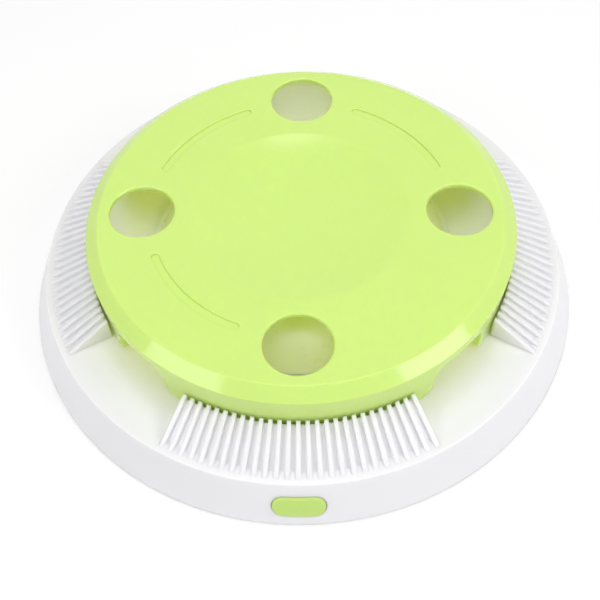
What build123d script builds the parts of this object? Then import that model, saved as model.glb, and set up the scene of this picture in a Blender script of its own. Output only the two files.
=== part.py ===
from build123d import *
from math import acos, atan2, cos, degrees, pi, radians, sin, sqrt, tan
import os

os.makedirs("parts", exist_ok=True)

# Electronic cat toy. Millimetres, +Z up, -Y is the front with the push button.
# The origin is the middle of the plane the rubber feet stand on.

# Round base
foot_z = 1.5
base_r = 150.0
wall_lean = 0.4
deck_z = 25.5
deck_r = base_r - wall_lean * (deck_z - foot_z)
deck_t = 2.5
wall_t = 2.7

# Gearbox drum in the middle of the deck
drum_r = 60.5
drum_t = 2.5
drum_top = 38.0
shaft_boss_r = 6.0
shaft_boss_top = 39.8

# White walls of the lure channel behind the ramps, each with a cove on its inner side
channel_r = 106.2
channel_t = 2.4
channel_top = 53.5
channel_half = 27.0
table_foot_r = channel_r - 26.2
cove_in_r = table_foot_r + 4
cove_top = 51.0
cove_sag = 3.8
cove_t = 2.2

# Lime cover
cover_top = 60.0
plate_t = 2.5
skirt_foot_r = channel_r + 5.4
bevel_r = skirt_foot_r + 1.7
bevel_z = 54.7
plate_r = bevel_r - 6.8
skirt_t = 2.2
skirt_z = 25.8
hole_ring_r = 83.5
hole_r = 17.25
hole_edge = 0.6
dish_r = 58.0
dish_depth = 7.0
dish_round = 12.0
arc_ring_r = 79.5
arc_w = 4.4
arc_deep = 0.9
arc_half = 22.3
arch_half_w = 17.4
arch_top = 48.0
arch_fillet = 8.0
leg_corner = 6.0
key_w = 2.0
key_gap = 0.5
key_deep = 3.2

# Ribbed ramps at the front, right, back and left
ramp_in_r = bevel_r - 0.1
ramp_out_r = deck_r - 2.8
ramp_top = 39.2
groove_drop = 2.3
rib_arc = 1.05
rib_tip = 0.7
ribs_per_side = 13
rib_step = 2.24
ramp_core_t = 2.4

# Turntable with its sloping shoulder
table_foot_z = 26.1
table_lip_z = 28.4
table_flat_r = table_foot_r - 30
table_top = 43.2
table_t = 2.0
table_hub_r = 9.0
table_hub_top = 45.6
table_boss_z = 40.4
table_boss_r = 6.5
hub_screw_seat = 44.0
hub_screw_head_r = 2.9
hub_screw_r = 1.0

# Output shaft
shaft_r = 2.0
shaft_top = 43.9
shaft_foot = 15.7
shaft_flat = 0.5
shaft_flat_z = 40.2
run_fit = 0.05
still_fit = 0.02

# Gear train, three stages of four to one
pressure_angle = 25.0
pinion_teeth = 12
wheel_teeth = 48
tooth_play = 0.08
module_1 = 0.5
module_2 = 0.6
module_3 = 0.8
level_1 = 20.3
level_2 = 24.1
level_3 = 27.9
wheel_t_1 = 3.0
wheel_t_2 = 3.0
wheel_t_3 = 4.0
axle_r = 1.0
turn_b = 150.0
turn_a = 250.0
turn_motor = 330.0

# Gearbox frame plates
lower_plate_z = 17.5
frame_t = 2.0
upper_plate_z = 32.8
post_r = 3.5
post_spots = [(26.0, 26.0), (22.0, -30.0), (-44.0, 6.0)]
frame_edge_r = 5.5
frame_screw_r = 1.25
frame_screw_top = 38.8
frame_screw_head_r = 2.6
frame_screw_head_t = 1.8
boss_r = 4.2
pad_h = 0.65

# Motor
motor_r = 12.2
motor_foot = 5.2
motor_nose_r = 3.0
motor_nose_h = 1.4
motor_shaft_r = 1.0
motor_hole_ring = 8.5
motor_hole_turn = 60.0
motor_screw_r = 1.0
motor_screw_head_r = 1.8
motor_screw_head_t = 1.0

# Bottom cover, feet and screws
bottom_t = 2.2
bottom_gap = 0.5
foot_r = 6.0
foot_ring_r = base_r - 16
foot_sink = 0.8
foot_turn = 0.0
screw_ring_r = base_r - 23
screw_turn = 45.0
screw_boss_r = 4.5
screw_r = 1.4
screw_head_r = 2.8
screw_head_t = 1.1
screw_len = 14.0

# Battery bay, two cells side by side
cell_r = 7.15
cell_len = 49.2
nub_r = 2.7
nub_len = 1.2
cell_z = 11.4
cell_y = 97.0
cell_pitch = 15.3
bay_half_x = 29.6
bay_wall = 1.5
bay_top = 20.6
contact_t = 0.5
contact_w = 12.0
tab_z = 8.0
tab_w = 4.0
tab_len = 3.0
door_half_x = 26.0
door_t = 2.0
door_gap = 0.35
hinge_gap = 0.65
hinge_z = 3.0
hinge_r = 1.3
hinge_pin_r = 0.8

# Push button in the front wall
button_w = 26.2
button_h = 11.0
button_z = 12.45
button_proud = 0.7
button_gap = 0.35
button_edge = 0.6
flange_y = 11.4 - base_r
flange_t = 1.4
flange_lip = 1.4
stem_r = 2.4
switch_y = flange_y + 10.6
switch_w = 6.0
switch_t = 3.5
plunger_r = 1.7
plunger_out = 2.0
board_t = 1.6
board_w = 40.0
board_h = 15.0
board_z = 5.5
rail_w = 3.6
lead_r = 0.8

# Lure and its arm
arm_w = 7.0
lure_ring_r = table_foot_r + 7
arm_root_r = table_foot_r - 4
arm_root_z = 36.0
arm_tip_r = lure_ring_r + 2.8
arm_z = 30.0
arm_t = 2.4
lure_z = 38.2
lure_r = 4.8
lure_reach = 15.0
lure_azimuth = 45.0
lure_lean = degrees(lure_reach / 2 / lure_ring_r)
swivel_r = 1.5


# Centre and radius of the ball that shapes the dish
ball_r = (dish_r ** 2 + dish_depth ** 2) / (2 * dish_depth)
ball_z = cover_top - dish_depth + ball_r


def wall_radius(z):
    return base_r - (z - foot_z) * wall_lean


def skirt_radius(z):
    return skirt_foot_r + (z - skirt_z) * (bevel_r - skirt_foot_r) / (bevel_z - skirt_z)


def polar(r, angle):
    return (r * cos(radians(angle)), r * sin(radians(angle)))


def involute(angle):
    return tan(angle) - angle


def gear_points(teeth, module, turn, flank_points):
    pitch_r = teeth * module / 2
    round_r = pitch_r * cos(radians(pressure_angle))
    tip_r = pitch_r + 0.9 * module
    root_r = pitch_r - 1.15 * module
    start_r = max(root_r, round_r)
    half = pi / (2 * teeth) - tooth_play / (2 * pitch_r) + involute(radians(pressure_angle))
    flank = []
    for i in range(flank_points):
        r = start_r + (tip_r - start_r) * i / (flank_points - 1)
        flank.append((r, half - involute(acos(round_r / r))))
    if root_r < round_r:
        flank.insert(0, (root_r, flank[0][1]))
    points = []
    for i in range(teeth):
        mid = radians(turn) + 2 * pi * i / teeth
        for r, a in flank:
            points.append((r * cos(mid - a), r * sin(mid - a)))
        for r, a in reversed(flank):
            points.append((r * cos(mid + a), r * sin(mid + a)))
    return points


def dish_z(r):
    return ball_z - sqrt(ball_r ** 2 - r ** 2)


# Axes of the gear train, in mesh at rest
centre_1 = module_1 * (pinion_teeth + wheel_teeth) / 2
centre_2 = module_2 * (pinion_teeth + wheel_teeth) / 2
centre_3 = module_3 * (pinion_teeth + wheel_teeth) / 2
axis_b = polar(centre_3, turn_b)
axis_a = (axis_b[0] + polar(centre_2, turn_a)[0], axis_b[1] + polar(centre_2, turn_a)[1])
axis_m = (axis_a[0] + polar(centre_1, turn_motor)[0], axis_a[1] + polar(centre_1, turn_motor)[1])
half_pinion = 180 / pinion_teeth
key_angle = channel_half + degrees((key_gap + key_w / 2) / channel_r)

# Base shell
wall_in_foot_r = base_r - wall_t
wall_in_top_r = wall_radius(deck_z - deck_t) - wall_t
bottom_r = wall_in_foot_r - wall_lean * bottom_t - bottom_gap
ramp_slope = (ramp_top - deck_z) / (ramp_out_r - ramp_in_r)
groove_out_r = ramp_out_r - groove_drop / ramp_slope
ramp_half = ribs_per_side * rib_step + rib_arc * 0.4
core_out_r = groove_out_r - 6.2
rib_count = 2 * ribs_per_side + 1
rib_span = 2 * ribs_per_side * rib_step
board_mid = switch_y + board_t / 2

with BuildPart() as ramp:
    with BuildSketch(Plane.XZ):
        with BuildLine():
            Polyline(
                (ramp_in_r + rib_tip, deck_z - 0.5),
                (ramp_in_r + rib_tip, ramp_top - groove_drop - rib_tip * ramp_slope),
                (groove_out_r, deck_z),
                (groove_out_r, deck_z - 0.5),
                close=True,
            )
        make_face()
    revolve(axis=Axis.Z, revolution_arc=2 * ramp_half)

with BuildPart() as rib:
    with BuildSketch(Plane.XZ):
        with BuildLine():
            Polyline(
                (ramp_in_r, deck_z - 0.5),
                (ramp_in_r, ramp_top),
                (ramp_out_r, deck_z),
                (ramp_out_r, deck_z - 0.5),
                close=True,
            )
        make_face()
    revolve(axis=Axis.Z, revolution_arc=rib_arc)

with BuildPart() as ramp_core:
    with BuildSketch(Plane.XZ):
        with BuildLine():
            Polyline(
                (ramp_in_r + ramp_core_t, deck_z - deck_t - 1),
                (ramp_in_r + ramp_core_t, ramp_top - groove_drop - 3.4),
                (core_out_r, deck_z - 1.2),
                (core_out_r, deck_z - deck_t - 1),
                close=True,
            )
        make_face()
    revolve(axis=Axis.Z, revolution_arc=2 * ramp_half - 4)

# Cove inside a channel wall, an arc hollow underneath
cove_run = channel_r - cove_in_r
cove_rise = cove_top - deck_z
cove_chord = sqrt(cove_run ** 2 + cove_rise ** 2)
cove_arc_r = cove_chord ** 2 / (8 * cove_sag) + cove_sag / 2
cove_axis_r = (cove_in_r + channel_r) / 2 - (cove_arc_r - cove_sag) * cove_rise / cove_chord
cove_axis_z = (deck_z + cove_top) / 2 + (cove_arc_r - cove_sag) * cove_run / cove_chord
cove_core_r = cove_in_r + 3
cove_end = degrees(cove_t / channel_r)


def cove_point(r, below=0.0):
    return (r, cove_axis_z - sqrt((cove_arc_r + below) ** 2 - (r - cove_axis_r) ** 2))


with BuildPart() as cove:
    with BuildSketch(Plane.XZ):
        with BuildLine():
            ThreePointArc(
                cove_point(channel_r), cove_point((channel_r + cove_in_r) / 2), cove_point(cove_in_r)
            )
            Polyline(
                cove_point(cove_in_r),
                (cove_in_r, deck_z - 0.5),
                (channel_r + 0.5, deck_z - 0.5),
                (channel_r + 0.5, cove_top),
                cove_point(channel_r),
            )
        make_face()
    revolve(axis=Axis.Z, revolution_arc=2 * channel_half)

with BuildPart() as cove_core:
    with BuildSketch(Plane.XZ):
        with BuildLine():
            ThreePointArc(
                cove_point(channel_r, cove_t),
                cove_point((channel_r + cove_core_r) / 2, cove_t),
                cove_point(cove_core_r, cove_t),
            )
            Polyline(
                cove_point(cove_core_r, cove_t),
                (cove_core_r, deck_z - deck_t - 1),
                (channel_r, deck_z - deck_t - 1),
                cove_point(channel_r, cove_t),
            )
        make_face()
    revolve(axis=Axis.Z, revolution_arc=2 * (channel_half - cove_end))

with BuildPart() as base_shell:
    with BuildSketch(Plane.XZ):
        with BuildLine():
            Polyline(
                (base_r, foot_z),
                (deck_r, deck_z),
                (drum_r, deck_z),
                (drum_r, drum_top),
                (0, drum_top),
                (0, drum_top - drum_t),
                (drum_r - drum_t, drum_top - drum_t),
                (drum_r - drum_t, deck_z - deck_t),
                (wall_in_top_r, deck_z - deck_t),
                (wall_in_foot_r, foot_z),
                close=True,
            )
        make_face()
    revolve(axis=Axis.Z)
    with PolarLocations(0, 4, start_angle=-ramp_half):
        add(ramp.part)
    for quarter in range(4):
        first_rib = 90 * quarter - (rib_span + rib_arc) / 2
        with PolarLocations(0, rib_count, first_rib, rib_span, endpoint=True):
            add(rib.part)
    with PolarLocations(0, 4, start_angle=2 - ramp_half):
        add(ramp_core.part, mode=Mode.SUBTRACT)
    # Channel walls, open at the four arches
    with BuildSketch(Plane.XY.offset(deck_z - 0.5)):
        Circle(channel_r + channel_t)
        Circle(channel_r, mode=Mode.SUBTRACT)
        with PolarLocations(0, 4, start_angle=45):
            Polygon(
                (0, 0),
                polar(160, channel_half - 45),
                polar(160, 45 - channel_half),
                align=None,
                mode=Mode.SUBTRACT,
            )
    extrude(amount=channel_top - deck_z + 0.5)
    with PolarLocations(0, 4, start_angle=-channel_half):
        add(cove.part)
    with PolarLocations(0, 4, start_angle=cove_end - channel_half):
        add(cove_core.part, mode=Mode.SUBTRACT)
    # Shaft bearing and the bosses that hold the gearbox
    with BuildSketch(Plane.XY.offset(drum_top - drum_t)):
        Circle(shaft_boss_r)
        with Locations(*post_spots):
            Circle(boss_r)
    extrude(amount=shaft_boss_top - drum_top + drum_t)
    with BuildSketch(Plane.XY.offset(drum_top - drum_t - pad_h)):
        with Locations(*post_spots):
            Circle(boss_r)
    extrude(amount=pad_h)
    with BuildSketch(Plane.XY.offset(drum_top - drum_t - 1)):
        Circle(shaft_r + run_fit)
    extrude(amount=10, mode=Mode.SUBTRACT)
    with BuildSketch(Plane.XY.offset(drum_top - drum_t - pad_h - 1)):
        with Locations(*post_spots):
            Circle(frame_screw_r + still_fit)
    extrude(amount=frame_screw_top + 0.2 - drum_top + drum_t + pad_h + 1, mode=Mode.SUBTRACT)
    # Bosses for the screws of the bottom cover
    with BuildSketch(Plane.XY.offset(foot_z + bottom_t + 0.05)):
        with PolarLocations(screw_ring_r, 4, start_angle=screw_turn):
            Circle(screw_boss_r)
    extrude(until=Until.NEXT)
    with BuildSketch(Plane.XY.offset(foot_z + bottom_t)):
        with PolarLocations(screw_ring_r, 4, start_angle=screw_turn):
            Circle(screw_r + still_fit)
    extrude(amount=screw_len, mode=Mode.SUBTRACT)
    # Rails that hold the switch board
    with BuildSketch(Plane.XY.offset(board_z - 0.4)):
        with Locations((0, board_mid)):
            with GridLocations(board_w + 0.8, 0, 2, 1):
                Rectangle(rail_w, board_t + 2.4)
        with Locations((0, board_mid)):
            Rectangle(board_w + 0.3, board_t + 0.15, mode=Mode.SUBTRACT)
    extrude(until=Until.NEXT)
    # Hole for the push button
    with BuildSketch(Plane.XZ.offset(-flange_y - 1)):
        with Locations((0, button_z)):
            SlotOverall(button_w + 2 * button_gap, button_h + 2 * button_gap)
    extrude(amount=20, mode=Mode.SUBTRACT)
base_shell.part.label = "base_shell"
export_step(base_shell.part, "parts/base_shell.step")

# Lime cover with four paw holes, arc grooves, a shallow dish and four arches
with BuildPart() as top_cover:
    with BuildSketch(Plane.XZ) as cover_face:
        with BuildLine():
            Line((0, cover_top - dish_depth - plate_t), (0, cover_top - dish_depth))
            ThreePointArc(
                (0, cover_top - dish_depth), (dish_r / 2, dish_z(dish_r / 2)), (dish_r, cover_top)
            )
            Polyline(
                (dish_r, cover_top),
                (plate_r, cover_top),
                (bevel_r, bevel_z),
                (skirt_radius(skirt_z - 1), skirt_z - 1),
                (skirt_radius(skirt_z - 1) - skirt_t, skirt_z - 1),
                (bevel_r - skirt_t - 0.2, bevel_z - 1.4),
                (plate_r - 1.0, cover_top - plate_t),
                (dish_r, cover_top - plate_t),
                (dish_r / 2, dish_z(dish_r / 2) - plate_t),
                (0, cover_top - dish_depth - plate_t),
            )
        make_face()
        crease = [v for v in cover_face.vertices() if abs(v.X - dish_r) + abs(v.Y - cover_top) < 0.01]
        fillet(crease, dish_round)
    revolve(axis=Axis.Z)
    # Locating keys inside the legs, one beside each end of the channel walls
    with BuildSketch(Plane.XY.offset(skirt_z + 0.7)):
        with PolarLocations(channel_r + key_deep / 2 + 1.2, 4, start_angle=key_angle):
            Rectangle(key_deep, key_w)
        with PolarLocations(channel_r + key_deep / 2 + 1.2, 4, start_angle=-key_angle):
            Rectangle(key_deep, key_w)
    extrude(amount=bevel_z - skirt_z - 2)
    # Paw holes
    with BuildSketch(Plane.XY.offset(cover_top)):
        with PolarLocations(hole_ring_r, 4):
            Circle(hole_r)
    extrude(amount=-plate_t - 1, mode=Mode.SUBTRACT)
    rims = [e for e in top_cover.edges().filter_by(GeomType.CIRCLE)
            if abs(e.radius - hole_r) < 0.01 and e.center().Z > cover_top - 0.1]
    chamfer(rims, hole_edge)
    # Arc grooves on three diagonals
    with BuildSketch(Plane.XY.offset(cover_top)):
        for middle in (45, 135, 225):
            SlotArc(
                CenterArc((0, 0), arc_ring_r, middle - arc_half, 2 * arc_half, mode=Mode.PRIVATE),
                height=arc_w,
            )
    extrude(amount=-arc_deep, mode=Mode.SUBTRACT)
    # Arches between the legs, which also trim the legs to length
    for turn in (45, 135):
        across = (-sin(radians(turn)), cos(radians(turn)), 0)
        outward = (cos(radians(turn)), sin(radians(turn)), 0)
        with BuildSketch(Plane(origin=(0, 0, 0), x_dir=across, z_dir=outward)) as arch_face:
            with BuildLine():
                Polyline(
                    (-bevel_r - 5, skirt_z - 4),
                    (-bevel_r - 5, skirt_z),
                    (-arch_half_w, skirt_z),
                    (-arch_half_w, arch_top),
                    (arch_half_w, arch_top),
                    (arch_half_w, skirt_z),
                    (bevel_r + 5, skirt_z),
                    (bevel_r + 5, skirt_z - 4),
                    close=True,
                )
            make_face()
            fillet(arch_face.vertices().group_by(Axis.Y)[-1], arch_fillet)
            feet = [v for v in arch_face.vertices() if abs(v.Y - skirt_z) < 0.01]
            fillet([v for v in feet if abs(v.X) < arch_half_w + 1], leg_corner)
        extrude(amount=130, both=True, mode=Mode.SUBTRACT)
top_cover.part.label = "top_cover"
export_step(top_cover.part, "parts/top_cover.step")

# Turntable, a flat middle with a domed shoulder
table_drop = table_top - table_lip_z
dome_r = ((table_foot_r - table_flat_r) ** 2 + table_drop ** 2) / (2 * table_drop)
dome_span = degrees(atan2(table_foot_r - table_flat_r, dome_r - table_drop))


def dome_point(share, below=0.0):
    lean = radians(dome_span * share)
    reach = dome_r - below
    return (table_flat_r + reach * sin(lean), table_top - dome_r + reach * cos(lean))


with BuildPart() as turntable:
    with BuildSketch(Plane.XZ):
        with BuildLine():
            Line((0, table_top), dome_point(0))
            ThreePointArc(dome_point(0), dome_point(0.5), dome_point(1))
            Polyline(
                dome_point(1),
                (table_foot_r, table_foot_z),
                (dome_point(1, table_t)[0], table_foot_z),
                dome_point(1, table_t),
                dome_point(0.5, table_t),
                dome_point(0, table_t),
                (0, table_top - table_t),
                (0, table_top),
            )
        make_face()
    revolve(axis=Axis.Z)
    with BuildSketch(Plane.XY.offset(table_boss_z)):
        Circle(table_boss_r)
    extrude(amount=table_top - table_boss_z - 0.5)
    with BuildSketch(Plane.XY.offset(table_top - 0.5)):
        Circle(table_hub_r)
    extrude(amount=table_hub_top - table_top + 0.5)
    with BuildSketch(Plane.XY.offset(table_boss_z - 1)) as bore_face:
        Circle(shaft_r + still_fit)
        with Locations((shaft_r + 1 - shaft_flat + still_fit, 0)):
            Rectangle(2, 6, mode=Mode.SUBTRACT)
    extrude(amount=8, mode=Mode.SUBTRACT)
    with BuildSketch(Plane.XY.offset(hub_screw_seat)):
        Circle(hub_screw_head_r + 0.4)
    extrude(amount=4, mode=Mode.SUBTRACT)
turntable.part.label = "turntable"
export_step(turntable.part, "parts/turntable.step")

# Steel output shaft with a flat at the turntable
with BuildPart() as drive_shaft:
    with BuildSketch(Plane.XY.offset(shaft_foot)):
        Circle(shaft_r)
    extrude(amount=shaft_top - shaft_foot)
    with BuildSketch(Plane.XY.offset(shaft_flat_z)):
        with Locations((shaft_r + 1 - shaft_flat, 0)):
            Rectangle(2, 6)
    extrude(amount=6, mode=Mode.SUBTRACT)
    with BuildSketch(Plane.XY.offset(shaft_top - 8)):
        Circle(hub_screw_r + still_fit)
    extrude(amount=9, mode=Mode.SUBTRACT)
drive_shaft.part.label = "drive_shaft"
export_step(drive_shaft.part, "parts/drive_shaft.step")

with BuildPart() as hub_screw:
    with BuildSketch(Plane.XY.offset(hub_screw_seat)):
        Circle(hub_screw_head_r)
    extrude(amount=1.4)
    with BuildSketch(Plane.XY.offset(hub_screw_seat)):
        Circle(hub_screw_r)
    extrude(amount=-7)
hub_screw.part.label = "hub_screw"
export_step(hub_screw.part, "parts/hub_screw.step")

# Lure arm on the turntable shoulder, with the swivel pin
with BuildPart() as lure_arm:
    with BuildSketch(Plane.YZ):
        with BuildLine():
            Polyline(
                (-arm_root_r, arm_z),
                (-arm_tip_r, arm_z),
                (-arm_tip_r, arm_z + arm_t),
                (-table_foot_r - 1, arm_z + arm_t + 0.6),
                (-arm_root_r, arm_root_z),
                close=True,
            )
        make_face()
    extrude(amount=arm_w / 2, both=True)
    fillet(lure_arm.edges().filter_by(Axis.Z).group_by(Axis.Y)[0], 2.2)
    with BuildSketch(Plane.XZ):
        with BuildLine():
            ThreePointArc(dome_point(0, -still_fit), dome_point(0.5, -still_fit), dome_point(1, -still_fit))
            Polyline(
                dome_point(1, -still_fit),
                (table_foot_r + still_fit, table_foot_z),
                (0, table_foot_z),
                (0, table_top + still_fit),
                dome_point(0, -still_fit),
            )
        make_face()
    revolve(axis=Axis.Z, mode=Mode.SUBTRACT)
    with BuildSketch(Plane.XY.offset(arm_z + 0.5)):
        with Locations((0, -lure_ring_r)):
            Circle(swivel_r)
    extrude(amount=lure_z + lure_r - arm_z - 1.5)
arm_part = lure_arm.part.rotate(Axis.Z, 90 + lure_azimuth)
arm_part.label = "lure_arm"
export_step(arm_part, "parts/lure_arm.step")

# Soft lure that trails on the swivel pin
with BuildPart() as lure:
    with BuildSketch(Plane.XY.offset(lure_z)):
        with BuildLine():
            Polyline(
                (-lure_r, 0),
                (-lure_r, lure_r / 2),
                (-lure_r / 2, lure_r),
                (lure_reach, lure_r),
                (lure_reach + lure_r, lure_r / 2),
                (lure_reach + lure_r, 0),
                close=True,
            )
        make_face()
    revolve(axis=Axis(origin=(0, 0, lure_z), direction=(1, 0, 0)))
    with BuildSketch(Plane.XY.offset(lure_z)):
        Circle(swivel_r + 0.08)
    extrude(amount=20, both=True, mode=Mode.SUBTRACT)
lure_part = lure.part.rotate(Axis.Z, lure_lean).moved(Location((0, -lure_ring_r, 0)))
lure_part = lure_part.rotate(Axis.Z, 90 + lure_azimuth)
lure_part.label = "lure"
export_step(lure_part, "parts/lure.step")

# Gears
output_turn = turn_b
b_pinion_turn = turn_b + 180 + half_pinion
b_wheel_turn = turn_a
a_pinion_turn = turn_a + 180 + half_pinion
a_wheel_turn = turn_motor
motor_turn = turn_motor + 180 + half_pinion

with BuildPart() as output_gear:
    with BuildSketch(Plane.XY.offset(level_3)):
        Polygon(*gear_points(wheel_teeth, module_3, output_turn, 2), align=None)
    extrude(amount=wheel_t_3)
    with BuildSketch(Plane.XY.offset(lower_plate_z + frame_t + 0.3)):
        Circle(shaft_r + 1.3)
    extrude(amount=upper_plate_z - lower_plate_z - frame_t - 0.6)
    with BuildSketch(Plane.XY.offset(lower_plate_z)):
        Circle(shaft_r + still_fit)
    extrude(amount=30, mode=Mode.SUBTRACT)
output_gear.part.label = "output_gear"
export_step(output_gear.part, "parts/output_gear.step")

with BuildPart() as gear_b:
    with BuildSketch(Plane.XY.offset(level_2)):
        Polygon(*gear_points(wheel_teeth, module_2, b_wheel_turn, 2), align=None)
    extrude(amount=wheel_t_2)
    with BuildSketch(Plane.XY.offset(level_2 + wheel_t_2 - 0.2)):
        Polygon(*gear_points(pinion_teeth, module_3, b_pinion_turn, 3), align=None)
    extrude(amount=level_3 + wheel_t_3 - level_2 - wheel_t_2 + 0.2)
    with BuildSketch(Plane.XY.offset(lower_plate_z + frame_t + 0.3)):
        Circle(axle_r + 1.2)
    extrude(amount=upper_plate_z - lower_plate_z - frame_t - 0.6)
    with BuildSketch(Plane.XY.offset(lower_plate_z)):
        Circle(axle_r + run_fit)
    extrude(amount=30, mode=Mode.SUBTRACT)
gear_b_part = gear_b.part.moved(Location((axis_b[0], axis_b[1], 0)))
gear_b_part.label = "gear_b"
export_step(gear_b_part, "parts/gear_b.step")

with BuildPart() as gear_a:
    with BuildSketch(Plane.XY.offset(level_1)):
        Polygon(*gear_points(wheel_teeth, module_1, a_wheel_turn, 2), align=None)
    extrude(amount=wheel_t_1)
    with BuildSketch(Plane.XY.offset(level_1 + wheel_t_1 - 0.2)):
        Polygon(*gear_points(pinion_teeth, module_2, a_pinion_turn, 3), align=None)
    extrude(amount=level_2 + wheel_t_2 - level_1 - wheel_t_1 + 0.2)
    with BuildSketch(Plane.XY.offset(lower_plate_z + frame_t + 0.3)):
        Circle(axle_r + 1.2)
    extrude(amount=upper_plate_z - lower_plate_z - frame_t - 0.6)
    with BuildSketch(Plane.XY.offset(lower_plate_z)):
        Circle(axle_r + run_fit)
    extrude(amount=30, mode=Mode.SUBTRACT)
gear_a_part = gear_a.part.moved(Location((axis_a[0], axis_a[1], 0)))
gear_a_part.label = "gear_a"
export_step(gear_a_part, "parts/gear_a.step")

with BuildPart() as motor_pinion:
    with BuildSketch(Plane.XY.offset(level_1 - 0.2)):
        Polygon(*gear_points(pinion_teeth, module_1, motor_turn, 3), align=None)
    extrude(amount=wheel_t_1 + 0.4)
    with BuildSketch(Plane.XY.offset(level_1 - 1)):
        Circle(motor_shaft_r + still_fit)
    extrude(amount=10, mode=Mode.SUBTRACT)
motor_pinion_part = motor_pinion.part.moved(Location((axis_m[0], axis_m[1], 0)))
motor_pinion_part.label = "motor_pinion"
export_step(motor_pinion_part, "parts/motor_pinion.step")

# Gearbox frame, two plates with three posts
with BuildPart() as gear_frame_lower:
    with BuildSketch(Plane.XY.offset(lower_plate_z)):
        with Locations(*post_spots):
            Circle(frame_edge_r)
        with Locations(axis_m):
            Circle(motor_r + 0.6)
        make_hull()
    extrude(amount=frame_t)
    with BuildSketch(Plane.XY.offset(lower_plate_z + frame_t)):
        with Locations(*post_spots):
            Circle(post_r)
    extrude(amount=upper_plate_z - lower_plate_z - frame_t)
    with BuildSketch(Plane.XY.offset(lower_plate_z)):
        Circle(shaft_r + 2)
    extrude(amount=shaft_foot - 1.2 - lower_plate_z)
    with BuildSketch(Plane.XY.offset(shaft_foot - 0.1)):
        Circle(shaft_r + run_fit)
    extrude(amount=10, mode=Mode.SUBTRACT)
    with BuildSketch(Plane.XY.offset(lower_plate_z - 1)):
        with Locations(*post_spots):
            Circle(frame_screw_r + still_fit)
        with Locations(axis_a, axis_b):
            Circle(axle_r + still_fit)
        with Locations(axis_m):
            Circle(motor_nose_r + 0.1)
            with PolarLocations(motor_hole_ring, 2, start_angle=motor_hole_turn):
                Circle(motor_screw_r + still_fit)
    extrude(amount=30, mode=Mode.SUBTRACT)
    with BuildSketch(Plane.XY.offset(lower_plate_z + frame_t - motor_screw_head_t)):
        with Locations(axis_m):
            with PolarLocations(motor_hole_ring, 2, start_angle=motor_hole_turn):
                Circle(motor_screw_head_r + 0.1)
    extrude(amount=5, mode=Mode.SUBTRACT)
gear_frame_lower.part.label = "gear_frame_lower"
export_step(gear_frame_lower.part, "parts/gear_frame_lower.step")

with BuildPart() as gear_frame_upper:
    with BuildSketch(Plane.XY.offset(upper_plate_z)):
        with Locations(*post_spots):
            Circle(frame_edge_r)
        make_hull()
    extrude(amount=frame_t)
    with BuildSketch(Plane.XY.offset(upper_plate_z - 1)):
        Circle(shaft_r + run_fit)
        with Locations(*post_spots):
            Circle(frame_screw_r + still_fit)
        with Locations(axis_a, axis_b):
            Circle(axle_r + still_fit)
    extrude(amount=10, mode=Mode.SUBTRACT)
gear_frame_upper.part.label = "gear_frame_upper"
export_step(gear_frame_upper.part, "parts/gear_frame_upper.step")

with BuildPart() as frame_screws:
    with BuildSketch(Plane.XY.offset(lower_plate_z)):
        with Locations(*post_spots):
            Circle(frame_screw_head_r)
    extrude(amount=-frame_screw_head_t)
    with BuildSketch(Plane.XY.offset(lower_plate_z)):
        with Locations(*post_spots):
            Circle(frame_screw_r)
    extrude(amount=frame_screw_top - lower_plate_z)
frame_screws.part.label = "frame_screws"
export_step(frame_screws.part, "parts/frame_screws.step")

for name, spot in (("axle_a", axis_a), ("axle_b", axis_b)):
    with BuildPart() as axle:
        with BuildSketch(Plane.XY.offset(lower_plate_z + 0.1)):
            with Locations(spot):
                Circle(axle_r)
        extrude(amount=upper_plate_z + frame_t - lower_plate_z - 0.2)
    axle.part.label = name
    export_step(axle.part, f"parts/{name}.step")

# Flat can motor under the lower plate
with BuildPart() as motor_can:
    with BuildSketch(Plane.XY.offset(motor_foot)):
        with Locations(axis_m):
            Circle(motor_r)
    extrude(amount=lower_plate_z - motor_foot)
    chamfer(motor_can.edges().group_by(Axis.Z)[0], 0.8)
    with BuildSketch(Plane.XY.offset(lower_plate_z)):
        with Locations(axis_m):
            Circle(motor_nose_r)
    extrude(amount=motor_nose_h)
    with BuildSketch(Plane.XY.offset(motor_foot + 1)):
        with Locations(axis_m):
            Circle(motor_shaft_r + run_fit)
    extrude(amount=30, mode=Mode.SUBTRACT)
    with BuildSketch(Plane.XY.offset(lower_plate_z)):
        with Locations(axis_m):
            with PolarLocations(motor_hole_ring, 2, start_angle=motor_hole_turn):
                Circle(motor_screw_r + still_fit)
    extrude(amount=-3, mode=Mode.SUBTRACT)
motor_can.part.label = "motor_can"
export_step(motor_can.part, "parts/motor_can.step")

with BuildPart() as motor_shaft:
    with BuildSketch(Plane.XY.offset(motor_foot + 1.1)):
        with Locations(axis_m):
            Circle(motor_shaft_r)
    extrude(amount=level_1 + wheel_t_1 + 0.6 - motor_foot - 1.1)
motor_shaft.part.label = "motor_shaft"
export_step(motor_shaft.part, "parts/motor_shaft.step")

with BuildPart() as motor_screws:
    with BuildSketch(Plane.XY.offset(lower_plate_z + frame_t - motor_screw_head_t)):
        with Locations(axis_m):
            with PolarLocations(motor_hole_ring, 2, start_angle=motor_hole_turn):
                Circle(motor_screw_head_r)
    extrude(amount=motor_screw_head_t - 0.1)
    with BuildSketch(Plane.XY.offset(lower_plate_z + frame_t - motor_screw_head_t)):
        with Locations(axis_m):
            with PolarLocations(motor_hole_ring, 2, start_angle=motor_hole_turn):
                Circle(motor_screw_r)
    extrude(amount=-3.2)
motor_screws.part.label = "motor_screws"
export_step(motor_screws.part, "parts/motor_screws.step")

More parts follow.
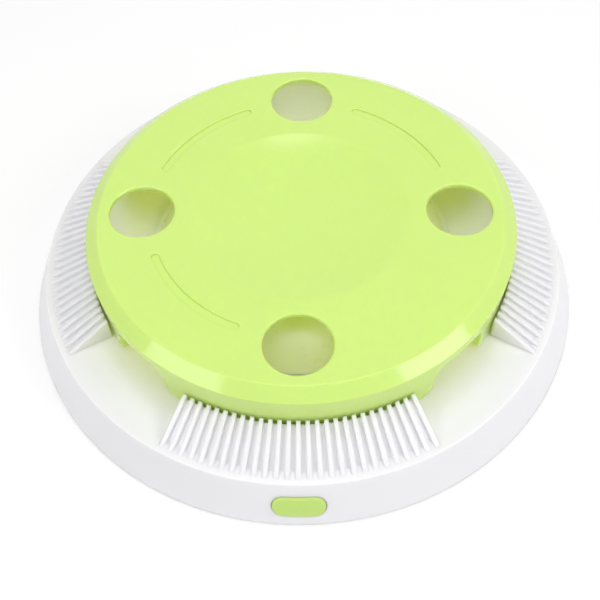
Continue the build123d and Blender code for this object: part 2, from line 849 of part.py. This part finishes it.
# Bottom cover with the battery bay
bay_near = cell_y - cell_r - 0.5
bay_far = cell_y + cell_pitch + cell_r + 0.5
bay_mid = (bay_near + bay_far) / 2
door_near = bay_near - 0.2
door_far = bay_far + 0.2
door_mid = (door_near + door_far) / 2
hinge_y = door_near + hinge_gap + hinge_r

with BuildPart() as base_cover:
    with BuildSketch(Plane.XY.offset(foot_z)):
        Circle(bottom_r)
    extrude(amount=bottom_t)
    with BuildSketch(Plane.XY.offset(foot_z + bottom_t)):
        with Locations((0, bay_mid)):
            Rectangle(2 * (bay_half_x + bay_wall), bay_far - bay_near + 2 * bay_wall)
    extrude(amount=bay_top - foot_z - bottom_t)
    with BuildSketch(Plane.XY.offset(foot_z + bottom_t)):
        with Locations((0, bay_mid)):
            Rectangle(2 * bay_half_x, bay_far - bay_near)
    extrude(amount=bay_top - bay_wall - foot_z - bottom_t, mode=Mode.SUBTRACT)
    with BuildSketch(Plane.XY.offset(foot_z - 1)):
        with Locations((0, door_mid)):
            Rectangle(2 * door_half_x + 2 * door_gap, door_far - door_near)
    extrude(amount=bottom_t + 2, mode=Mode.SUBTRACT)
    # Bearings of the door hinge
    with BuildSketch(Plane.XY.offset(foot_z)):
        with Locations((door_half_x + door_gap + 1, hinge_y), (-door_half_x - door_gap - 1, hinge_y)):
            Rectangle(2, 4)
    extrude(amount=3.4)
    with BuildSketch(Plane.YZ):
        with Locations((hinge_y, hinge_z)):
            Circle(hinge_pin_r + 0.08)
    extrude(amount=door_half_x + door_gap + 1.9, both=True, mode=Mode.SUBTRACT)
    # Slots for the contact tabs
    with BuildSketch(Plane.XY.offset(tab_z - 0.5)):
        with Locations((-bay_half_x - bay_wall / 2, cell_y + cell_pitch / 2)):
            with GridLocations(0, cell_pitch, 1, 2):
                Rectangle(bay_wall + 1, tab_w + 0.6)
    extrude(amount=2, mode=Mode.SUBTRACT)
    # Screw holes and foot recesses
    with BuildSketch(Plane.XY.offset(foot_z)):
        with PolarLocations(screw_ring_r, 4, start_angle=screw_turn):
            Circle(screw_head_r + 0.3)
    extrude(amount=screw_head_t, mode=Mode.SUBTRACT)
    with BuildSketch(Plane.XY.offset(foot_z)):
        with PolarLocations(screw_ring_r, 4, start_angle=screw_turn):
            Circle(screw_r + 0.2)
    extrude(amount=5, mode=Mode.SUBTRACT)
    with BuildSketch(Plane.XY.offset(foot_z)):
        with PolarLocations(foot_ring_r, 6, start_angle=foot_turn):
            Circle(foot_r + still_fit)
    extrude(amount=foot_sink, mode=Mode.SUBTRACT)
base_cover.part.label = "base_cover"
export_step(base_cover.part, "parts/base_cover.step")

with BuildPart() as base_screws:
    with BuildSketch(Plane.XY.offset(foot_z + screw_head_t)):
        with PolarLocations(screw_ring_r, 4, start_angle=screw_turn):
            Circle(screw_head_r)
    extrude(amount=-screw_head_t + 0.1)
    with BuildSketch(Plane.XY.offset(foot_z + screw_head_t)):
        with PolarLocations(screw_ring_r, 4, start_angle=screw_turn):
            Circle(screw_r)
    extrude(amount=screw_len - 1)
base_screws.part.label = "base_screws"
export_step(base_screws.part, "parts/base_screws.step")

for i in range(6):
    spot = polar(foot_ring_r, foot_turn + 60 * i)
    with BuildPart() as foot:
        with BuildSketch(Plane.XY):
            with Locations(spot):
                Circle(foot_r)
        extrude(amount=foot_z + foot_sink)
    foot.part.label = f"foot_{i + 1}"
    export_step(foot.part, f"parts/foot_{i + 1}.step")

# Battery door on its two hinge pins
with BuildPart() as battery_door:
    with BuildSketch(Plane.XY.offset(foot_z)):
        with Locations((0, (hinge_y + door_far - door_gap) / 2)):
            Rectangle(2 * door_half_x, door_far - door_gap - hinge_y)
    extrude(amount=door_t)
    with BuildSketch(Plane.YZ):
        with Locations((hinge_y, hinge_z)):
            Circle(hinge_r)
    extrude(amount=door_half_x, both=True)
    with BuildSketch(Plane.YZ):
        with Locations((hinge_y, hinge_z)):
            Circle(hinge_pin_r)
    extrude(amount=door_half_x + door_gap + 1.6, both=True)
    with BuildSketch(Plane.XY.offset(foot_z)):
        with Locations((0, door_far - 4), (0, door_far - 6), (0, door_far - 8)):
            Rectangle(16, 0.9)
    extrude(amount=0.5, mode=Mode.SUBTRACT)
battery_door.part.label = "battery_door"
export_step(battery_door.part, "parts/battery_door.step")

# Two cells, the nub of the first toward -X and of the second toward +X
for i, side in ((1, -1), (2, 1)):
    row_y = cell_y + cell_pitch * (i - 1)
    with BuildPart() as battery:
        with BuildSketch(Plane.YZ.offset(-side * cell_len / 2)):
            with Locations((row_y, cell_z)):
                Circle(cell_r)
        extrude(amount=side * cell_len)
        with BuildSketch(Plane.YZ.offset(side * cell_len / 2)):
            with Locations((row_y, cell_z)):
                Circle(nub_r)
        extrude(amount=side * nub_len)
    battery.part.label = f"battery_{i}"
    export_step(battery.part, f"parts/battery_{i}.step")

# Battery contacts: a dimple meets each nub and a bent leaf each flat end
contact_x = bay_half_x - 0.2
nub_x = cell_len / 2 + nub_len + 0.05
leaf_x = cell_len / 2 + 0.05
for name, side, nub_rows, leaf_rows in (
    ("contact_positive", -1, [0], []),
    ("contact_negative", -1, [], [1]),
    ("contact_link", 1, [1], [0]),
):
    rows = nub_rows + leaf_rows
    row_mid = cell_y + cell_pitch * sum(rows) / len(rows)
    width = contact_w + cell_pitch * (len(rows) - 1)
    with BuildPart() as contact:
        with BuildSketch(Plane.YZ.offset(side * contact_x)):
            with Locations((row_mid, cell_z)):
                Rectangle(width, contact_w)
        extrude(amount=-side * contact_t)
        for row in nub_rows:
            with BuildSketch(Plane.YZ.offset(side * nub_x)):
                with Locations((cell_y + cell_pitch * row, cell_z)):
                    Circle(nub_r - 0.6)
            extrude(amount=side * (contact_x - nub_x))
        for row in leaf_rows:
            with BuildSketch(Plane.XZ.offset(-cell_y - cell_pitch * row)):
                with BuildLine():
                    Polyline(
                        (side * (contact_x - contact_t), cell_z - 5.2),
                        (side * leaf_x, cell_z),
                        (side * (contact_x - contact_t), cell_z + 5.2),
                        (side * (contact_x - contact_t), cell_z + 4.4),
                        (side * (leaf_x + 0.7), cell_z),
                        (side * (contact_x - contact_t), cell_z - 4.4),
                        close=True,
                    )
                make_face()
            extrude(amount=2.5, both=True)
        if side < 0:
            with BuildSketch(Plane.XY.offset(tab_z)):
                with Locations((-contact_x - tab_len / 2 + contact_t, row_mid)):
                    Rectangle(tab_len, tab_w)
            extrude(amount=contact_t)
    contact.part.label = name
    export_step(contact.part, f"parts/{name}.step")

# Push button, its switch and the board
with BuildPart() as button_front:
    with BuildSketch(Plane.XZ):
        with BuildLine():
            Polyline(
                (0, 0),
                (0, deck_z),
                (wall_radius(deck_z) + button_proud, deck_z),
                (wall_radius(0) + button_proud, 0),
                close=True,
            )
        make_face()
    revolve(axis=Axis.Z)

with BuildPart() as button:
    with BuildSketch(Plane.XZ.offset(-flange_y - 0.5)):
        with Locations((0, button_z)):
            SlotOverall(button_w, button_h)
    extrude(amount=20)
    add(button_front.part, mode=Mode.INTERSECT)
    chamfer(button.faces().sort_by(Axis.Y)[0].edges(), button_edge)
    with BuildSketch(Plane.XZ.offset(-flange_y)):
        with Locations((0, button_z)):
            SlotOverall(button_w + 2 * flange_lip, button_h + 2 * flange_lip)
    extrude(amount=-flange_t)
    with BuildSketch(Plane.XZ.offset(-flange_y - flange_t + 0.2)):
        with Locations((0, button_z)):
            Circle(stem_r)
    extrude(amount=switch_y - switch_t - plunger_out - 0.02 - flange_y - flange_t + 0.2, dir=(0, 1, 0))
button.part.label = "button"
export_step(button.part, "parts/button.step")

with BuildPart() as switch_body:
    with BuildSketch(Plane.XZ.offset(-switch_y)):
        with Locations((0, button_z)):
            Rectangle(switch_w, switch_w)
    extrude(amount=switch_t)
    with BuildSketch(Plane.XZ.offset(-switch_y + 0.3)):
        with Locations((0, button_z)):
            Circle(plunger_r + run_fit)
    extrude(amount=5, mode=Mode.SUBTRACT)
switch_body.part.label = "switch_body"
export_step(switch_body.part, "parts/switch_body.step")

with BuildPart() as switch_plunger:
    with BuildSketch(Plane.XZ.offset(-switch_y + switch_t + plunger_out)):
        with Locations((0, button_z)):
            Circle(plunger_r)
    extrude(amount=-plunger_out - 1.6)
switch_plunger.part.label = "switch_plunger"
export_step(switch_plunger.part, "parts/switch_plunger.step")

with BuildPart() as circuit_board:
    with BuildSketch(Plane.XZ.offset(-switch_y)):
        with Locations((0, board_z + board_h / 2)):
            Rectangle(board_w, board_h)
    extrude(amount=-board_t)
circuit_board.part.label = "circuit_board"
export_step(circuit_board.part, "parts/circuit_board.step")

# Leads between the battery bay, the board and the motor
board_back = switch_y + board_t + 0.1
tab_end = -contact_x - tab_len + contact_t - lead_r - 0.1
lead_routes = {
    "lead_plus": [
        (tab_end, cell_y, tab_z),
        (-58, 58, 6),
        (-58, -20, 6),
        (axis_m[0] - motor_r - lead_r - 0.3, axis_m[1], 8),
    ],
    "lead_minus": [
        (tab_end, cell_y + cell_pitch, tab_z),
        (-76, 72, 6),
        (-82, -60, 6),
        (-12, -110, 6),
        (-12, board_back, 10),
    ],
    "lead_switch": [
        (8, board_back, 10),
        (8, -105, 6),
        (-4, -50, 6),
        (axis_m[0], axis_m[1] - motor_r - lead_r - 0.3, 8),
    ],
}
for name, route in lead_routes.items():
    with BuildPart() as lead:
        with BuildLine() as path:
            Polyline(*route)
        with BuildSketch(Plane(origin=path.line @ 0, z_dir=path.line % 0)):
            RegularPolygon(lead_r, 6)
        sweep(path=path.line, transition=Transition.RIGHT)
    lead.part.label = name
    export_step(lead.part, f"parts/{name}.step")
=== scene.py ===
import math
import bpy
from mathutils import Matrix, Vector

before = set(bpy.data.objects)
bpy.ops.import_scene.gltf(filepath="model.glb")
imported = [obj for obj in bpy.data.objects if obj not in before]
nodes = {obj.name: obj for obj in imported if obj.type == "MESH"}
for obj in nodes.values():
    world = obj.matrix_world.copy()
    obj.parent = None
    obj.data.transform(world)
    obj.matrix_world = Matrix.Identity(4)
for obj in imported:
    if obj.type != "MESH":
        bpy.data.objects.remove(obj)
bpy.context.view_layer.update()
scene = bpy.context.scene

WHITE = (1.0, 1.0, 1.0, 1.0)

# Texture scales are per metre, and the other lengths are in metres
TONE_SCALE = 18.0
RUB_SCALE = 55.0
GRAIN_STRENGTH = 0.25
EDGE_SAMPLES = 6

EVEN_GLOW = (1.0, 1.0, 1.0)
LIME_GLOW = (1.0, 1.0, 0.5)
LIME_TINT = (0.97, 1.0, 0.42)
STRAIGHT_THROUGH = 0.72
SCATTERED_THROUGH = 0.46

FLOOR_RADIUS = 6.0
FLOOR_SIDES = 96
FLOOR_WHITE = (0.97, 0.97, 0.97, 1.0)
SHADOW_RADIUS = 0.35
BACKDROP_RADIUS = 1.1
NEAR_WHITE = 0.55
WORLD_LIGHT = 0.30


# Node helpers

def new_material(name):
    material = bpy.data.materials.new(name)
    material.use_nodes = True
    tree = material.node_tree
    shader = tree.nodes["Principled BSDF"]
    return material, tree, shader


def noise(tree, scale, detail, roughness=0.5):
    place = tree.nodes.new("ShaderNodeTexCoord")
    texture = tree.nodes.new("ShaderNodeTexNoise")
    texture.inputs["Scale"].default_value = scale
    texture.inputs["Detail"].default_value = detail
    texture.inputs["Roughness"].default_value = roughness
    tree.links.new(place.outputs["Object"], texture.inputs["Vector"])
    return texture.outputs["Fac"]


def spread(tree, source, low, high, from_low=0.35, from_high=0.65):
    ramp = tree.nodes.new("ShaderNodeMapRange")
    ramp.inputs["From Min"].default_value = from_low
    ramp.inputs["From Max"].default_value = from_high
    ramp.inputs["To Min"].default_value = low
    ramp.inputs["To Max"].default_value = high
    tree.links.new(source, ramp.inputs["Value"])
    return ramp.outputs["Result"]


def two_tones(tree, factor, first, second):
    mix = tree.nodes.new("ShaderNodeMix")
    mix.data_type = "RGBA"
    mix.inputs["A"].default_value = (*first, 1.0)
    mix.inputs["B"].default_value = (*second, 1.0)
    tree.links.new(factor, mix.inputs["Factor"])
    return mix.outputs["Result"]


def two_shaders(tree, share, first, second):
    mix = tree.nodes.new("ShaderNodeMixShader")
    tree.links.new(share, mix.inputs["Fac"])
    tree.links.new(first, mix.inputs[1])
    tree.links.new(second, mix.inputs[2])
    return mix.outputs["Shader"]


def combined(tree, operation, first, second):
    """One Math node, whose second term is a socket or a number."""
    term = tree.nodes.new("ShaderNodeMath")
    term.operation = operation
    tree.links.new(first, term.inputs[0])
    if isinstance(second, float):
        term.inputs[1].default_value = second
    else:
        tree.links.new(second, term.inputs[1])
    return term.outputs[0]


def seen_directly(tree):
    """1 for what the camera sees, also in a reflection or through glass."""
    path = tree.nodes.new("ShaderNodeLightPath")
    direct = combined(tree, "MAXIMUM", path.outputs["Is Camera Ray"], path.outputs["Is Glossy Ray"])
    return combined(tree, "MAXIMUM", direct, path.outputs["Is Transmission Ray"])


def linear(r, g, b):
    """An sRGB colour of 0 to 255 as the linear colour that a shader takes."""
    channels = []
    for c in (r, g, b):
        c = c / 255
        channels.append(c / 12.92 if c <= 0.04045 else ((c + 0.055) / 1.055) ** 2.4)
    return tuple(channels)


def shaded(colour, amount):
    return tuple(max(0.0, min(1.0, c * (1.0 + amount))) for c in colour)


# Materials

def solid_material(name, colour, rough, rough_change, grain, grain_depth, tone=0.015,
                   metal=0.0, glow_radius=None, glow_scale=0.002, edge_round=0.0, level=0.5):
    """A colour with slow changes of tone and roughness and a fine grain."""
    material, tree, shader = new_material(name)
    factor = spread(tree, noise(tree, TONE_SCALE, 3.0), 0.0, 1.0)
    tint = two_tones(tree, factor, shaded(colour, -tone), shaded(colour, tone))
    tree.links.new(tint, shader.inputs["Base Color"])
    rub = noise(tree, RUB_SCALE, 6.0, 0.65)
    roughness = spread(tree, rub, rough - rough_change, rough + rough_change)
    tree.links.new(roughness, shader.inputs["Roughness"])
    bump = tree.nodes.new("ShaderNodeBump")
    bump.inputs["Strength"].default_value = GRAIN_STRENGTH
    bump.inputs["Distance"].default_value = grain_depth
    tree.links.new(noise(tree, grain, 4.0), bump.inputs["Height"])
    if edge_round > 0:
        soft = tree.nodes.new("ShaderNodeBevel")
        soft.samples = EDGE_SAMPLES
        soft.inputs["Radius"].default_value = edge_round
        tree.links.new(soft.outputs["Normal"], bump.inputs["Normal"])
    tree.links.new(bump.outputs["Normal"], shader.inputs["Normal"])
    shader.inputs["Metallic"].default_value = metal
    shader.inputs["Specular IOR Level"].default_value = level
    if glow_radius:
        shader.inputs["Subsurface Weight"].default_value = 1.0
        shader.inputs["Subsurface Radius"].default_value = glow_radius
        shader.inputs["Subsurface Scale"].default_value = glow_scale
    return material


def let_light_through(material, tint, straight, scattered):
    """Milky plastic: part of the light that falls on it goes through, in the plastic's colour."""
    tree = material.node_tree
    out = tree.nodes["Material Output"]
    surface = out.inputs["Surface"].links[0].from_socket
    path = tree.nodes.new("ShaderNodeLightPath")
    lamp_share = combined(tree, "MULTIPLY", path.outputs["Is Shadow Ray"], straight)
    bounced_share = combined(tree, "MULTIPLY", path.outputs["Is Diffuse Ray"], scattered)
    clear = tree.nodes.new("ShaderNodeBsdfTransparent")
    clear.inputs["Color"].default_value = (*tint, 1.0)
    share = combined(tree, "MAXIMUM", lamp_share, bounced_share)
    mixed = two_shaders(tree, share, surface, clear.outputs["BSDF"])
    tree.links.new(mixed, out.inputs["Surface"])


lime = solid_material("lime_gloss", linear(207, 232, 130), 0.10, 0.015, 900, 0.00002,
                      glow_radius=LIME_GLOW, edge_round=0.0008, tone=0.006, level=0.40)
let_light_through(lime, LIME_TINT, STRAIGHT_THROUGH, SCATTERED_THROUGH)
lime_button = solid_material("lime_button", linear(196, 224, 122), 0.30, 0.02, 900, 0.00002,
                             glow_radius=LIME_GLOW, edge_round=0.0005, tone=0.006)
white = solid_material("white_gloss", linear(237, 236, 240), 0.24, 0.015, 900, 0.00002,
                       glow_radius=EVEN_GLOW, glow_scale=0.003, tone=0.002,
                       edge_round=0.0012, level=0.36)
# The turntable and lure arm are a white darkened and tinted olive: painted shade standing in for
# the lime-tinted light under the cover
table_white_painted_shade = solid_material("white_table_painted_shade", linear(220, 224, 194), 0.30, 0.04, 900, 0.00002,
                             glow_radius=EVEN_GLOW, glow_scale=0.0015, tone=0.004,
                             edge_round=0.0008)
plush = solid_material("lure_plush", linear(170, 172, 180), 0.9, 0.05, 1600, 0.0004, tone=0.12)
steel = solid_material("steel_plated", linear(200, 200, 204), 0.30, 0.08, 700, 0.00003, metal=1.0)
motor_steel = solid_material("steel_can", linear(190, 190, 194), 0.36, 0.08, 500, 0.00004,
                             metal=1.0)
nickel = solid_material("nickel_plated", linear(214, 210, 200), 0.28, 0.07, 700, 0.00002,
                        metal=1.0)
brass = solid_material("brass_cut", linear(214, 178, 96), 0.30, 0.08, 900, 0.00003, metal=1.0)
acetal = solid_material("acetal_cream", linear(236, 232, 218), 0.42, 0.05, 800, 0.00004,
                        edge_round=0.0003)
frame_black = solid_material("frame_black", linear(44, 44, 46), 0.50, 0.06, 700, 0.00005,
                             tone=0.06)
jacket = solid_material("cell_jacket", linear(60, 66, 78), 0.34, 0.06, 500, 0.00003, tone=0.05)
board = solid_material("board_mask", linear(28, 104, 58), 0.38, 0.06, 600, 0.00005, tone=0.05)
black = solid_material("switch_black", linear(30, 30, 32), 0.46, 0.06, 800, 0.00004, tone=0.06)
red_wire = solid_material("wire_red", linear(196, 34, 30), 0.45, 0.05, 900, 0.00004, tone=0.04)
black_wire = solid_material("wire_black", linear(26, 26, 28), 0.45, 0.05, 900, 0.00004, tone=0.04)
rubber = solid_material("rubber_grey", linear(120, 120, 122), 0.80, 0.06, 1200, 0.0001, tone=0.05)

finish = {
    lime: ["top_cover"],
    lime_button: ["button"],
    white: ["base_shell", "base_cover", "battery_door"],
    table_white_painted_shade: ["turntable", "lure_arm"],
    plush: ["lure"],
    steel: ["drive_shaft", "hub_screw", "axle_a", "axle_b", "motor_shaft", "frame_screws",
            "motor_screws", "base_screws"],
    motor_steel: ["motor_can"],
    nickel: ["contact_positive", "contact_negative", "contact_link"],
    brass: ["motor_pinion"],
    acetal: ["output_gear", "gear_a", "gear_b"],
    frame_black: ["gear_frame_lower", "gear_frame_upper"],
    jacket: ["battery_1", "battery_2"],
    board: ["circuit_board"],
    black: ["switch_body", "switch_plunger"],
    red_wire: ["lead_plus", "lead_switch"],
    black_wire: ["lead_minus"],
    rubber: [f"foot_{i}" for i in range(1, 7)],
}
for material, names in finish.items():
    for name in names:
        mesh = nodes[name].data
        mesh.materials.clear()
        mesh.materials.append(material)


# Floor and world, white to the camera while the floor keeps the shadow

def floor_material():
    """Takes the shadow round the object and runs into the white backdrop further off."""
    material, tree, shader = new_material("studio_floor")
    shader.inputs["Base Color"].default_value = FLOOR_WHITE
    shader.inputs["Roughness"].default_value = 0.9
    shader.inputs["Specular IOR Level"].default_value = 0.0
    white_card = tree.nodes.new("ShaderNodeEmission")
    white_card.inputs["Color"].default_value = WHITE
    white_card.inputs["Strength"].default_value = 1.0
    place = tree.nodes.new("ShaderNodeTexCoord")
    far = tree.nodes.new("ShaderNodeVectorMath")
    far.operation = "LENGTH"
    tree.links.new(place.outputs["Object"], far.inputs[0])
    white_share = spread(tree, far.outputs["Value"], NEAR_WHITE, 1.0,
                         SHADOW_RADIUS, BACKDROP_RADIUS)
    share = combined(tree, "MULTIPLY", seen_directly(tree), white_share)
    mixed = two_shaders(tree, share, shader.outputs["BSDF"], white_card.outputs["Emission"])
    tree.links.new(mixed, tree.nodes["Material Output"].inputs["Surface"])
    return material


def disc(name, radius, sides, material):
    mesh = bpy.data.meshes.new(name)
    ring = []
    for i in range(sides):
        turn = 2 * math.pi * i / sides
        ring.append((radius * math.cos(turn), radius * math.sin(turn), 0.0))
    mesh.from_pydata(ring, [], [tuple(range(sides))])
    mesh.materials.append(material)
    thing = bpy.data.objects.new(name, mesh)
    scene.collection.objects.link(thing)
    return thing


floor = disc("studio_floor", FLOOR_RADIUS, FLOOR_SIDES, floor_material())

world = bpy.data.worlds.new("studio_world")
scene.world = world
world.use_nodes = True
sky = world.node_tree
backdrop = sky.nodes["Background"]
backdrop.inputs["Color"].default_value = WHITE
backdrop.inputs["Strength"].default_value = WORLD_LIGHT
white_sky = sky.nodes.new("ShaderNodeBackground")
white_sky.inputs["Color"].default_value = WHITE
white_sky.inputs["Strength"].default_value = 1.0
sky_mixed = two_shaders(sky, seen_directly(sky), backdrop.outputs["Background"],
                        white_sky.outputs["Background"])
sky.links.new(sky_mixed, sky.nodes["World Output"].inputs["Surface"])


# Lamps

def softbox(name, azimuth, elevation, distance, width, height, power, highlight=True):
    """An area lamp aimed at the object. Azimuth runs from +X, elevation from the floor."""
    light = bpy.data.lights.new(name, "AREA")
    light.shape = "RECTANGLE"
    light.size = width
    light.size_y = height
    light.energy = power
    lamp = bpy.data.objects.new(name, light)
    turn = math.radians(azimuth)
    lift = math.radians(elevation)
    spot = Vector((
        distance * math.cos(lift) * math.cos(turn),
        distance * math.cos(lift) * math.sin(turn),
        distance * math.sin(lift),
    ))
    lamp.location = spot
    lamp.rotation_euler = (-spot).to_track_quat("-Z", "Y").to_euler()
    lamp.visible_glossy = highlight
    scene.collection.objects.link(lamp)


# Azimuth and elevation in degrees, distance, width and height in metres, power in watts
softbox("softbox_left", -145, 38, 1.3, 0.66, 0.50, 4.2)
softbox("softbox_right", -27, 37, 1.3, 0.62, 0.55, 5.9)
softbox("softbox_over", -90, 82, 0.9, 0.60, 0.60, 2.7)
# These two light the front wall and the back and leave no highlight
softbox("softbox_front", -90, 16, 1.3, 0.90, 0.30, 0.6, highlight=False)
softbox("softbox_back", 84, 30, 1.3, 1.10, 0.50, 3.0, highlight=False)
softbox("softbox_dish", 98, 74, 1.3, 0.30, 0.26, 1.2)

# Camera at the photograph's angle, with the lens in mm and its place in metres
camera_data = bpy.data.cameras.new("photo_camera")
camera_data.lens = 58.87
camera_data.sensor_width = 36.0
camera_data.clip_start = 0.01
camera_place = (0.013528, -0.336818, 0.451916)
camera_right = Vector((0.99963249, 0.0115933, -0.02450452))
camera_up = Vector((0.00476463, 0.81472889, 0.5798225))
camera_back = Vector((0.02668659, -0.57972616, 0.81437424))
camera_turn = Matrix((camera_right, camera_up, camera_back)).transposed().to_4x4()
camera = bpy.data.objects.new("photo_camera", camera_data)
camera.matrix_world = Matrix.Translation(camera_place) @ camera_turn
scene.collection.objects.link(camera)
bpy.context.scene.camera = camera
scene.view_settings.view_transform = "Standard"
